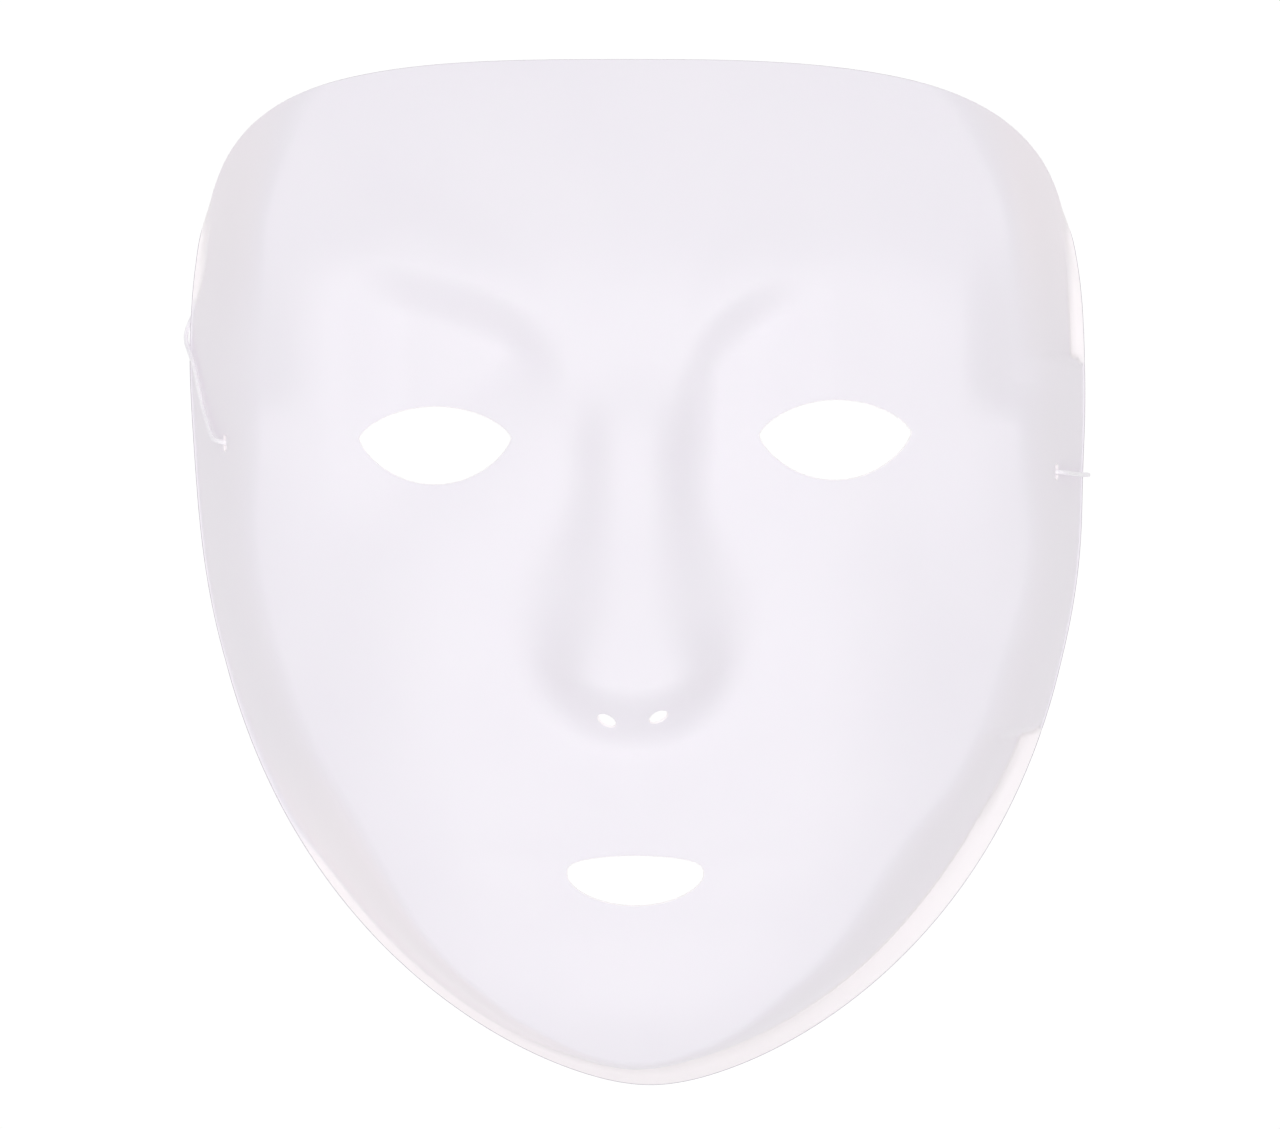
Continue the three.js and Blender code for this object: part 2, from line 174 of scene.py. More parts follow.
# Powers of the rounded figure: with 2 it would be an ellipse, with more it is squarer.
SQUARENESS = {"top_left": 3.44, "top_right": 2.97, "crown": 3.9, "jaw": 1.6, "cheek": 2.6}
TRIM_SHIFT = 1.47  # the cut sits a little askew on the face
TRIM_SLOPE = 0.016
CORD_DENTS = [(-1, 41, 0.6, 9), (1, 19, -0.5, 6)]  # at the cord: side, level, push and spread
OUTLINE_STEPS = 672
TRIAL_STEPS = 10 * OUTLINE_STEPS  # uneven steps, from which the even ones are taken
ROUNDING_PASSES = 52


def outline(reach_up):
    """Evenly spaced points of the outline, anticlockwise seen from the front."""
    turn = np.linspace(0, 2 * np.pi, TRIAL_STEPS + 1)
    across, up = np.cos(turn), np.sin(turn)
    corner = np.where(across < 0, SQUARENESS["top_left"], SQUARENESS["top_right"])
    p = np.where(up >= 0, corner, SQUARENESS["jaw"])
    q = np.where(up >= 0, SQUARENESS["crown"], SQUARENESS["cheek"])
    y = WIDEST_LEVEL + np.where(up >= 0, reach_up, REACH_TO_CHIN) * signed_power(up, 2 / q)
    x = HALF_WIDTH * signed_power(across, 2 / p) + TRIM_SHIFT - TRIM_SLOPE * y
    for side, level, push, spread in CORD_DENTS:
        on_this_side = ease(40, 70, x * side)
        x = x + side * push * bell(y - level, spread) * on_this_side
    run = np.append(0, np.cumsum(np.hypot(np.diff(x), np.diff(y))))
    even = np.linspace(0, run[-1], OUTLINE_STEPS, endpoint=False)
    points = np.column_stack([np.interp(even, run, x), np.interp(even, run, y)])
    for _ in range(ROUNDING_PASSES):
        points = (np.roll(points, 1, axis=0) + 2 * points + np.roll(points, -1, axis=0)) / 4
    return points


rim = outline(REACH_TO_TOP)
foot = outline(REACH_OF_WALL)
print("trimmed outline in mm:", np.ptp(rim, axis=0).round(1), "round trip",
      round(float(np.hypot(*(np.roll(rim, -1, axis=0) - rim).T).sum())))

# %% [markdown]
# The side wall rises from a narrow flat lip, which is what is left of the flat sheet round the mould. It
# is steeper at the chin than at the temples, because the mould is. At the sides the whole edge bows up
# a few millimetres, so a mask that lies on a table touches it at the chin and at the upper corners.

# %% Side wall and lip
SHEET = 0.6  # thickness of the formed sheet
WALL_BAND = 16.0  # width of lip and wall together, as it shows from the front
PLAIN_LIP = 0.3  # what is left of the lip where it is narrowest
EDGE_LIFT = 4.5  # of the edge at its highest place
LIFT_LEVEL = 21.5  # where that place is
LIFT_REACH = 40.5  # from there to where the edge comes down to the table
BLOCK = 4000  # points that are worked on at a time, to keep the memory small


def inset_from(loop, x, y):
    """Distance of points inwards from a closed line."""
    points = np.column_stack([x, y])
    edges = np.roll(loop, -1, axis=0) - loop
    lengths = (edges ** 2).sum(axis=1)
    inset = np.empty(len(points))
    for first in range(0, len(points), BLOCK):
        away = points[first:first + BLOCK, None] - loop[None]
        share = np.clip((away * edges).sum(axis=2) / lengths, 0, 1)
        away = away - share[..., None] * edges
        distance = np.hypot(away[..., 0], away[..., 1])
        nearest = distance.argmin(axis=1)
        row = np.arange(len(nearest))
        edge, out = edges[nearest], away[row, nearest]
        side = np.sign(edge[:, 0] * out[:, 1] - edge[:, 1] * out[:, 0])
        inset[first:first + BLOCK] = side * distance[row, nearest]
    return inset


def lip_width(x, y):
    """Width of the lip: most at the lower right, less at the temples and the chin, elsewhere hardly any."""
    upper_right = 2.2 * ease(40.5, 42.5, y) * (1 - ease(69, 84, y))
    lower_right = 3.1 + 0.9 * (1 - ease(-50, -33, y)) - 0.6 * (1 - ease(-85, -60, y))
    lower_right = lower_right * (1 - ease(-31.6, -29.8, y))
    upper_left = 2.0 * ease(48, 62, y) * (1 - ease(72, 88, y))
    lower_left = 1.2 * (1 - ease(-62, -45, y)) + 1.1 * (1 - ease(-99, -88, y))
    right = ease(-12, 12, x)
    return PLAIN_LIP + (upper_left + lower_left) * (1 - right) + (upper_right + lower_right) * right


def edge_lift(y):
    """How far the edge bows up off the table at the sides."""
    return EDGE_LIFT * np.clip(1 - ((y - LIFT_LEVEL) / LIFT_REACH) ** 4, 0, 1) ** 1.5


def wall_steepness(x, y):
    """How much the wall rises with each millimetre inwards."""
    sides = 3.9 + 0.5 * (1 - ease(5, 25, y)) - 0.9 * ease(60, 85, y)
    left_jaw = 3 * ease(8, 24, -x) * (1 - ease(-88, -46, y))
    chin = 3 * (1 - ease(-80, -44, y)) + 5 * (1 - ease(-97, -78, y)) + left_jaw
    return sides + 0.6 * (1 - ease(-40, -5, y)) + chin


def wall_height(x, y):
    """Height of the side wall, as if it went on rising inwards."""
    lip = lip_width(x, y)
    fillet = 0.5 + 2.6 * ease(0, 20, -x) * (1 - ease(-45, -10, y))  # the fold is softer at the lower left
    inwards = np.maximum(inset_from(foot, x, y) - lip, 0)
    rounded = np.where(inwards < fillet, inwards ** 2 / (2 * fillet), inwards - fillet / 2)
    squeeze = WALL_BAND / (WALL_BAND - lip * ease(-60, -34, y))  # a wide lip leaves less room for the wall
    return SHEET + edge_lift(y) + wall_steepness(x, y) * squeeze * rounded


print("lip at the lower right:", round(float(lip_width(np.array(60.0), np.array(-60.0))), 1), "mm wide")

# %% [markdown]
# The face is a broad dome with a few soft forms on it. They are shallow, because a thin sheet bridges
# small hollows of the mould instead of following them: the eye sockets are set back by four millimetres
# under a low arched brow at the left and a short steep one at the right, the cheeks swell a little, and
# only the nose stands out far, with a steep underside between its wings. A blended lower envelope of
# dome and wall rounds the turn between them, over which the warm sheet was drawn down. Each form is a
# bell or an eased step, given by its height, its place and its spread, all in millimetres.

# %% Face


def roll_off(distance, reach, drop):
    """How far a surface has dropped, when it starts level and reaches the drop at the reach."""
    return drop * (np.maximum(distance, 0) / reach) ** 2.2


def dome(out, y):
    """The broad form of the face, which falls away to the sides, the crown and the chin."""
    level = 47.5 + 5.4 * bell(y - 48, 17) + 2.8 * bell(y + 45, 16)
    ends = roll_off(y - 50, 47, 8) + roll_off(-68 - y, 29, 7)
    reach = 77 - 55 * (np.maximum(30 - y, 0) / 140) ** 1.7
    fall = 12 - 0.033 * np.maximum(y, 0) + 0.07 * np.minimum(y, 0)
    roundness = 2.4 + 0.6 * (1 - ease(-50, 0, y))
    return level - ends - fall * (out / np.maximum(reach, 10)) ** roundness


def brow(out, y, is_left):
    """The brow's ridge and the eye socket under it."""
    left_line = 57.5 - 20 * np.exp(-((out / 32) ** 1.5))
    right_line = 54.5 - 22 * np.exp(-((out / 19) ** 1.7))
    above = y - np.where(is_left, left_line, right_line)
    socket = 5 * (1 - ease(-5.5, 5.5, above)) * ease(0, 38, y)
    soft_end = 25 + 15 * (1 - ease(-24, -4, above))
    left_strength = ease(12, soft_end, out) * (1 - ease(42, 60, out))
    right_fade = (1 - 0.85 * ease(20, 38, out)) * (1 - ease(44, 62, out))
    right_strength = (0.65 + 0.4 * ease(40, 52, y)) * ease(7, 16, out) * right_fade
    return np.where(is_left, left_strength, right_strength) * (0.9 * bell(above - 7, 6) - socket)


def cheek(out, y, is_left):
    """Cheek and cheekbone, the hollow at the temple and the fold beside the nose."""
    apple = 2.8 * bell(out - 42, 15) * bell(y + 8, 24)
    bone = 2.0 * bell(out - 68, 8) * bell(y - 12, 12)
    temple = np.where(is_left, 4, 7) * ease(61, 76, out) * ease(27, 37, y) * (1 - ease(42, 72, y))
    nose_fold = 0.8 * bell(out - 25, 6) * bell(y + 16, 12)
    return apple + bone - temple - nose_fold


def nose(out, y):
    """Bridge, tip and wings of the nose, cut off by its underside."""
    rise = 5.6 * (1 - ease(22, 42, y)) + 4 * (1 - ease(-16, 20, y))
    half = 7.2 + 4.2 * (1 - ease(-12, 20, y)) + 4 * ease(30, 46, y)
    squareness = 2.4 + 0.8 * bell(y - 20, 12) + 0.7 * (1 - ease(-18, -2, y))
    ridge = rise * np.exp(-0.5 * (out / half) ** squareness)
    wing = 1.6 * bell(out - 11.5, 4) * bell(y + 19, 6)
    underside = ease(-34, -20.5, y - 0.022 * np.minimum(out, 24) ** 2)
    return (ridge + wing) * underside


def mouth_and_chin(out, y):
    """The groove over the mouth, the mouth's corners, and the chin with the fold over it."""
    philtrum = 1.2 * bell(out, 6) * bell(y + 42, 8)
    lip_line = 0.5 * bell(out - 22, 6) * bell(y + 53.5, 2.2)
    chin_fold = 0.9 * bell(out, 22) * bell(y + 71, 5)
    chin = 1.8 * bell(out, 14) * bell(y + 81, 8)
    return philtrum - lip_line - chin_fold + chin


def height(x, y):
    """Height of the outer skin over the table."""
    out, is_left = np.abs(x), x < 0
    face = dome(out, y) + brow(out, y, is_left) + cheek(out, y, is_left)
    face = face + nose(out, y) + mouth_and_chin(out, y)
    wall = wall_height(x, y)
    right_jaw = 8 * ease(0, 20, x) * (1 - ease(-30, 0, y)) * ease(-95, -60, y)
    softness = 23 + 4 * bell(y - 45, 14) + right_jaw - 12 * (1 - ease(-95, -65, y))
    share = np.clip(0.5 + 0.5 * (wall - face) / softness, 0, 1)
    return wall + (face - wall) * share - softness * share * (1 - share)


TIP_LEVEL = -14.0
tip = height(np.array([0.0]), np.array([TIP_LEVEL]))[0]
print("tip of the nose is", round(float(tip), 1), "mm above the table")

# %% [markdown]
# The eye, nostril and mouth openings are punched or cut after forming, so they are clean-edged. The eyes
# are almonds that hang lower than their corners, the mouth is nearly flat above and full below, and the
# slits for the elastic are short cuts along the wall, which look narrow from the front.

# %% Openings
EDGE_ROUND = 0.2  # radius of a punched or trimmed edge
SLITS = {"left": (-77.8, 24.7), "right": (80.5, 19.3)}
SLIT_HALF_LENGTH = 1.5
SLIT_HALF_WIDTH = 0.2  # as it shows from the front, because the wall is steep
ELLIPSE = (1, 1)  # powers of the upper and the lower half; more is pointed, less is square
ALMOND = (1.4, 1.4)
MOUTH = (0.6, 1.2)
SQUARE_ENDED = (0.5, 0.5)
EDGE_SPACING = 0.6
FEWEST_EDGE_POINTS = 24
OPENINGS = [
    {"at": (-37.3, 25.3), "half": 14.2, "above": 5.9, "below": 8.6, "powers": ALMOND},
    {"at": (37.6, 26.1), "half": 14.2, "above": 6.2, "below": 8.6, "powers": ALMOND, "turn": 1},
    {"at": (0.2, -56.3), "half": 12.7, "above": 3.6, "below": 5.7, "powers": MOUTH},
    {"at": (-5.1, -27.4), "half": 1.8, "above": 0.9, "below": 0.9, "powers": ELLIPSE, "turn": -28},
    {"at": (4.5, -26.7), "half": 1.8, "above": 0.9, "below": 0.9, "powers": ELLIPSE, "turn": 25},
]
for slit in SLITS.values():
    OPENINGS.append({"at": slit, "half": SLIT_HALF_WIDTH, "above": SLIT_HALF_LENGTH,
                     "below": SLIT_HALF_LENGTH, "powers": SQUARE_ENDED})


def turned(points, degrees):
    """Points of the plan, turned anticlockwise about the middle."""
    c, s = math.cos(math.radians(degrees)), math.sin(math.radians(degrees))
    return points @ np.array([[c, s], [-s, c]])


def opening_loop(opening):
    """The edge of an opening, clockwise seen from the front, as the edge of a hole runs."""
    half, above, below = (opening[key] + EDGE_ROUND for key in ("half", "above", "below"))
    power_above, power_below = opening["powers"]
    count = max(FEWEST_EDGE_POINTS, round(4 * math.hypot(half, below) / EDGE_SPACING))
    angle = -np.linspace(0, 2 * np.pi, count, endpoint=False)
    up = np.sin(angle)
    reach = np.where(up > 0, above, below)
    y = reach * signed_power(up, np.where(up > 0, power_above, power_below))
    points = np.column_stack([half * np.cos(angle), y])
    return turned(points, opening.get("turn", 0)) + opening["at"]


def inside_opening(opening, points, margin):
    """Which points lie in an opening, or nearer to it than the margin."""
    grow = EDGE_ROUND + margin
    half, above, below = (opening[key] + grow for key in ("half", "above", "below"))
    power_above, power_below = opening["powers"]
    x, y = turned(points - opening["at"], -opening.get("turn", 0)).T
    room = np.clip(1 - (x / half) ** 2, 0, 1)
    reach = np.where(y > 0, above * room ** (power_above / 2), below * room ** (power_below / 2))
    return (np.abs(x) < half) & (np.abs(y) < np.maximum(reach, margin))


loops = [opening_loop(opening) for opening in OPENINGS]
print(len(loops), "openings, their edges drawn with", sum(map(len, loops)), "points")

# %% [markdown]
# The shell could be a grid that is bent into shape, but then its rows would cut across the trimmed edge
# and the openings. Here the points are laid out on the plan instead: rows that follow the edge up the
# steep wall, close together in the fold at its foot, and an even honeycomb over the rest of the face.
# A constrained triangulation joins them, keeps the edge and the openings as its own borders, and
# leaves the openings empty.

# %% Plan of the shell's mesh
FOLD_ROWS = (0.0, 0.12, 0.25, 0.38, 0.5)  # distances of the first rows from the lip
WALL_REACH = 18.0  # distance of the last row
WALL_ROWS = 30
ROW_SPREAD = 1.2  # over 1, so the rows stand closer together low on the wall
WIDE_LIP = 1.0  # from this width on, the lip has a row in its middle
HONEYCOMB = 1.1  # distance between points of the face
SLACK = 0.02  # how much nearer to the edge than its row a point may lie
FREE_MARGIN = 0.3  # around the openings, kept free of other points


def into_sheet(loop):
    """Directions from a loop's points into the sheet, square to the loop."""
    along = np.roll(loop, -1, axis=0) - np.roll(loop, 1, axis=0)
    across = np.column_stack([-along[:, 1], along[:, 0]])
    return across / np.hypot(*across.T)[:, None]


def rows_along_edge():
    """Rows that follow the trimmed edge, without the points that come nearer to another stretch of it."""
    lip = lip_width(*rim.T)
    steps = (np.arange(1, WALL_ROWS + 1) / WALL_ROWS) ** ROW_SPREAD
    rows = [*FOLD_ROWS, *(FOLD_ROWS[-1] + (WALL_REACH - FOLD_ROWS[-1]) * steps)]
    insets = [lip + row for row in rows]
    insets.append(np.where(lip > WIDE_LIP, (lip + EDGE_ROUND) / 2, lip + FOLD_ROWS[1] / 2))
    points = np.vstack([rim + inset[:, None] * into_sheet(rim) for inset in insets])
    inset = np.concatenate(insets)
    return points[inset_from(rim, *points.T) > inset - SLACK]


def honeycomb():
    """Evenly spaced points over the face, inside the wall's rows."""
    low, high = rim.min(axis=0), rim.max(axis=0)
    rise = HONEYCOMB * math.sqrt(3) / 2
    rows, columns = int((high[1] - low[1]) / rise), int((high[0] - low[0]) / HONEYCOMB)
    row, column = np.mgrid[0:rows, 0:columns].reshape(2, -1)
    points = low + np.column_stack([(column + row % 2 / 2) * HONEYCOMB, row * rise])
    reach = WALL_REACH + 0.5 * HONEYCOMB + lip_width(*points.T)
    return points[inset_from(rim, *points.T) > reach]


def plan_of_shell():
    """Plan points and triangles of one skin, with its borders as rows of point numbers."""
    lines = [rim + EDGE_ROUND * into_sheet(rim), *loops]
    fill = np.vstack([rows_along_edge(), honeycomb()])
    for opening in OPENINGS:
        fill = fill[~inside_opening(opening, fill, FREE_MARGIN)]
    ends = np.cumsum([len(line) for line in lines])
    numbers = [np.arange(end - len(line), end) for end, line in zip(ends, lines)]
    layout = np.vstack([*lines, fill])
    vectors = [Vector(point) for point in layout]
    lines_as_faces = [row.tolist() for row in numbers]
    holes_left_open = 2  # the triangulation's own number for this kind of result
    same_point = 1e-6
    found = delaunay_2d_cdt(vectors, [], lines_as_faces, holes_left_open, same_point)
    assert len(found[0]) == len(layout), "no two points of the plan may coincide"
    return layout, np.array(found[2]), numbers


plan, triangles, borders = plan_of_shell()
print("plan:", len(plan), "points,", len(triangles), "triangles in each skin")

# %% [markdown]
# The sheet has a real thickness, so the plan gives two skins: the outer one at the height of the face,
# and the inner one a sheet's thickness behind it, square to the surface. Between them, round the trimmed
# outline and round each opening, goes a narrow rounded edge. Three attributes tell the finish where it
# is: on a cut edge, where the flat lip gets a whiter painted glow, which the cut edges take too, and where
# the steep walls get a lighter painted glow. Both glows stand for the table's light through the sheet.

# %% Cut edges, and painted glow on the flat lip and the walls
EDGE_STEPS = 3
TRIMMED_EDGE = 1.0  # values of the attribute cut_edge, which is 0 on the skins
OPENING_EDGE = 0.5
LIP_GLOW_WIDTHS = (0.4, 1.2)  # widths of lip between which its whiter painted glow starts to show
LIP_FADE = 0.9  # how far up the fold the lip's painted glow goes on


def skin_normals(points, faces):
    """Directions out of a skin, one at each point."""
    corners = points[faces]
    across = np.cross(corners[:, 1] - corners[:, 0], corners[:, 2] - corners[:, 0])
    normals = np.zeros_like(points)
    for k in range(3):
        np.add.at(normals, faces[:, k], across)
    return normals / np.linalg.norm(normals, axis=1)[:, None]


def edge_profile():
    """Depth under the outer skin, and reach beyond the skins, of the rows round a cut edge."""
    turn = np.linspace(0, np.pi / 2, EDGE_STEPS + 1)[1:]
    depth, reach = EDGE_ROUND * (1 - np.cos(turn)), EDGE_ROUND * np.sin(turn)
    return [*zip(depth, reach), *zip(SHEET - depth[::-1], reach[::-1])]


def painted_wall_glow(x, y, rise):
    """Share of painted glow that stands for the table's light through the sheet: down the walls, most at
    the lower left and the upper corners.
    """
    lower_left = ease(0, 20, -x) * (1 - ease(-55, -25, y))
    upper = ease(35, 75, y) * (0.4 + 0.4 * ease(-12, 12, x))
    return (1 - ease(0.35, 0.85, rise)) * np.clip(0.3 + 0.7 * lower_left + upper, 0, 1)


def skin_marks(normals):
    """The attributes' values at the points of a skin."""
    lip = lip_width(*plan.T)
    past_lip = inset_from(foot, *plan.T) - lip
    # painted glow on the flat lip, whiter, for the table's light through the sheet
    painted_lip_glow_and_edge_white = ease(*LIP_GLOW_WIDTHS, lip) * (1 - ease(0.0, LIP_FADE, past_lip))
    # painted glow down the steep walls, lighter and pinker, for the table's light through the sheet
    wall_glow = painted_wall_glow(*plan.T, normals[:, 2])
    return {"cut_edge": np.zeros(len(plan)), "painted_lip_glow_and_edge_white": painted_lip_glow_and_edge_white, "painted_wall_glow": wall_glow}


def edge_marks(count, kind_of_edge):
    """The attributes' values at the points of a cut edge."""
    ones = np.ones(count)
    # cut edges take the lip's whiter tint in full, and none of the walls' painted glow
    return {"cut_edge": kind_of_edge * ones, "painted_lip_glow_and_edge_white": ones, "painted_wall_glow": 0 * ones}


print("a cut edge has", len(edge_profile()), "rows of points between the two skins")

# %% [markdown]
# The skins and the rounded edges are then joined into one closed mesh. Each edge is a ribbon of
# triangles: its rows of points run round the border, from the outer skin over the rounding to the inner
# skin, and each row is joined to the next.

# %% Mask shell


def edge_rows(border, outer, normals):
    """Rows of points round a cut edge, from the outer skin to the inner one."""
    side = np.column_stack([into_sheet(plan[border]), np.zeros(len(border))])
    side -= (side * normals[border]).sum(axis=1)[:, None] * normals[border]
    side /= np.linalg.norm(side, axis=1)[:, None]
    return [outer[border] - depth * normals[border] - reach * side for depth, reach in edge_profile()]


def ribbon(rows):
    """Triangles between neighbouring rows of point numbers, each row a closed loop."""
    ribbons = []
    for upper, lower in zip(rows, rows[1:]):
        a, b, c, d = upper, np.roll(upper, -1), np.roll(lower, -1), lower
        ribbons.append(np.column_stack([b, a, d]))
        ribbons.append(np.column_stack([b, d, c]))
    return ribbons


def shell_mesh():
    """Points and triangles of the shell, and the attributes with their value at each point."""
    outer = np.column_stack([plan, height(*plan.T)])
    normals = skin_normals(outer, triangles)
    points = [outer, outer - SHEET * normals]
    faces = [triangles, triangles[:, ::-1] + len(outer)]
    on_skin = skin_marks(normals)
    marks = [on_skin, on_skin]
    total = 2 * len(outer)
    for border in borders:
        rows = edge_rows(border, outer, normals)
        count = len(rows) * len(border)
        numbers = np.arange(total, total + count).reshape(len(rows), len(border))
        points += rows
        faces += ribbon([border, *numbers, border + len(outer)])
        marks.append(edge_marks(count, TRIMMED_EDGE if border is borders[0] else OPENING_EDGE))
        total += count
    attributes = {key: np.concatenate([mark[key] for mark in marks]) for key in marks[0]}
    return np.vstack(points), np.vstack(faces), attributes


def mesh_object(name, points, faces):
    """A smooth-shaded object from points in millimetres."""
    data = bpy.data.meshes.new(name)
    data.from_pydata(place(points).tolist(), [], [face.tolist() for face in faces])
    data.polygons.foreach_set("use_smooth", [True] * len(data.polygons))
    data.validate()
    thing = bpy.data.objects.new(name, data)
    bpy.context.scene.collection.objects.link(thing)
    return thing


points, faces, attributes = shell_mesh()
shell = mesh_object("mask_shell_fine", points, faces)
for attribute, values in attributes.items():
    shell.data.attributes.new(attribute, "FLOAT", "POINT").data.foreach_set("value", values)
print("shell:", len(shell.data.vertices), "points and", len(shell.data.polygons), "triangles;",
      "box in mm", np.ptp(points, axis=0).round(1), "from", points[:, 2].min().round(2))

# %% [markdown]
# Each end of the elastic is moulded into a little bar that lies across the slit behind the sheet. It is
# turned from a profile: a rod with round ends, and a short collar that points to the slit and grips
# the elastic.

# %% End bars
BAR_LENGTH = 7.0
BAR_RADIUS = 0.6
BAR_DEPTH = 2.6  # from the outer skin to the bar's middle
COLLAR_RADIUS = 0.72
COLLAR_PROFILE = [  # distance from the bar's middle, and radius
    (0.0, 0.5 * COLLAR_RADIUS), (0.1, COLLAR_RADIUS), (1.35, COLLAR_RADIUS), (1.5, 0.8 * COLLAR_RADIUS),
]
BAR_SIDES = 20
END_STEPS = 6
FIRST_TURN = 0.15  # radians; it leaves a small flat at each tip
STEP = 0.001  # for measuring a slope


def slit_frame(at):
    """Place of a slit on the outer skin, and the directions out of it and down the wall."""
    x, y = np.array(at)
    around = height(np.array([x, x + STEP, x - STEP, x, x]), np.array([y, y, y, y + STEP, y - STEP]))
    out = np.array([around[2] - around[1], around[4] - around[3], 2 * STEP])
    out /= np.linalg.norm(out)
    down = np.array([0, 0, -1.0]) + out[2] * out
    return np.array([x, y, around[0]]), out, down / np.linalg.norm(down)


def turned_solid(start, axis, profile):
    """A closed solid of revolution: profile rows are (distance along the axis, radius)."""
    off_axis = np.array([0.0, 1.0, 0.0])
    u = np.cross(axis, off_axis)
    u /= np.linalg.norm(u)
    v = np.cross(axis, u)
    angle = np.linspace(0, 2 * np.pi, BAR_SIDES, endpoint=False)
    ring = np.cos(angle)[:, None] * u + np.sin(angle)[:, None] * v
    rows = [start + along * axis + radius * ring for along, radius in profile]
    points = np.vstack([start + profile[0][0] * axis, *rows, start + profile[-1][0] * axis])
    faces = []
    for i in range(BAR_SIDES):
        j = (i + 1) % BAR_SIDES
        faces.append((0, 1 + j, 1 + i))
        for k in range(len(rows) - 1):
            a, b = 1 + k * BAR_SIDES, 1 + (k + 1) * BAR_SIDES
            faces.append((a + i, a + j, b + j, b + i))
        last = 1 + (len(rows) - 1) * BAR_SIDES
        faces.append((last + i, last + j, len(points) - 1))
    return points, faces


def round_ended(length, radius):
    """Profile of a rod with rounded ends, centred on its start."""
    turn = np.linspace(FIRST_TURN, np.pi / 2, END_STEPS)
    end = [(length / 2 - radius + radius * math.cos(t), radius * math.sin(t)) for t in turn]
    return [(-along, r) for along, r in end] + [(along, r) for along, r in end[::-1]]


def end_bar(side):
    """Points and faces of the bar behind a slit, with its collar."""
    at, out, down = slit_frame(SLITS[side])
    middle = at - BAR_DEPTH * out
    rod_points, rod_faces = turned_solid(middle, down, round_ended(BAR_LENGTH, BAR_RADIUS))
    collar_points, collar_faces = turned_solid(middle, out, COLLAR_PROFILE)
    offset = len(rod_points)
    faces = rod_faces + [tuple(offset + number for number in face) for face in collar_faces]
    return np.vstack([rod_points, collar_points]), faces


bars = {}
for side in SLITS:
    bar_points, bar_faces = end_bar(side)
    bars[side] = mesh_object(f"end_bar_{side}_fine", bar_points, [np.array(face) for face in bar_faces])
    print("end bar", side, "box in mm", np.ptp(bar_points, axis=0).round(1))

# %% [markdown]
# All finishes are built from shader nodes. One helper adds a node: it sets the node's own settings, and
# each input gets either a plain value or a link from another node's output. An input is given by its
# name, or by i and its number where several inputs share one name.

# %% Node helper


def add_node(tree, kind, settings=None, **inputs):
    """Add a node, set its properties, and give its inputs a value or a link."""
    node = tree.nodes.new(kind)
    for key, value in (settings or {}).items():
        setattr(node, key, value)
    for key, value in inputs.items():
        has_number = key[0] == "i" and key[1:].isdigit()
        socket = node.inputs[int(key[1:]) if has_number else key.replace("_", " ")]
        if isinstance(value, bpy.types.NodeSocket):
            tree.links.new(value, socket)
        else:
            socket.default_value = value
    return node


def new_material(name):
    """An empty material, its node tree and its output."""
    material = bpy.data.materials.new(name)
    material.use_nodes = True
    material.node_tree.nodes.clear()
    output = material.node_tree.nodes.new("ShaderNodeOutputMaterial")
    return material, material.node_tree, output


print("node helper ready")

# %% [markdown]
# The shell is thermoformed PVC sheet, filled white. The mould leaves a satin skin with a faint
# orange-peel of about a millimetre and a half, and the sheet lets a little light through, which softens
# the shading. PVC has a refractive index near 1.54. The white is not quite neutral: it leans a little to
# violet, from the brightener in the plastic. Down the steep walls the tint is painted lighter and pinker,
# and the flat lip is painted whiter: both are painted glow, which stands for the table's light coming
# through the sheet. The openings' cut edges are white and matt, and the trimmed outline gets a fine grey
# line of painted shade, the edge's dark line against the table.

# %% Thermoformed PVC sheet
PEEL_SIZE = 1.5  # mm from bump to bump of the orange-peel
CLOUD_SIZE = 22.0  # mm between slightly thicker and thinner places of the drawn sheet


